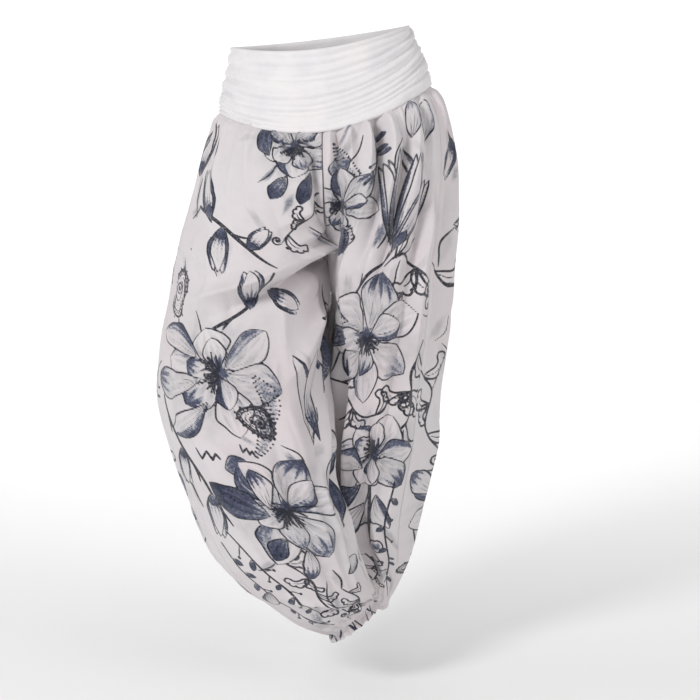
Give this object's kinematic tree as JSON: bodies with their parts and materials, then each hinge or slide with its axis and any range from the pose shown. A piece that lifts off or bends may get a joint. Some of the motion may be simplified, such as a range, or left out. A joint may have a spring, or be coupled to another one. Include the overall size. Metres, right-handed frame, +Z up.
{
  "type": "harem pants",
  "caption": "Full-length balloon-leg harem pants with a wide ruched jersey waistband, an ink-wash floral print and elastic cuffs, worn with crossed legs.",
  "frame": {"origin": "centre of the waist opening at the waistband's mid-height, where the wearer's hips hold the garment up", "axes": "+Z up, front of the garment towards -Y, the wearer's right leg at -X and crossing in front of the left leg at +X"},
  "size_m": [0.473, 0.364, 0.9866],
  "materials": {
    "viscose": "soft plain-weave viscose, pale ground with a navy and grey ink-wash print",
    "jersey": "fine white viscose jersey, ruched",
    "cuff": "gathered hem of the leg cloth over narrow elastic"
  },
  "bodies": {
    "root": {"leg_right_front": "viscose", "leg_right_back": "viscose", "leg_left_front": "viscose", "leg_left_back": "viscose", "waistband_front": "jersey", "waistband_back": "jersey", "cuff_right": "cuff", "cuff_left": "cuff"}
  },
  "joints": []
}
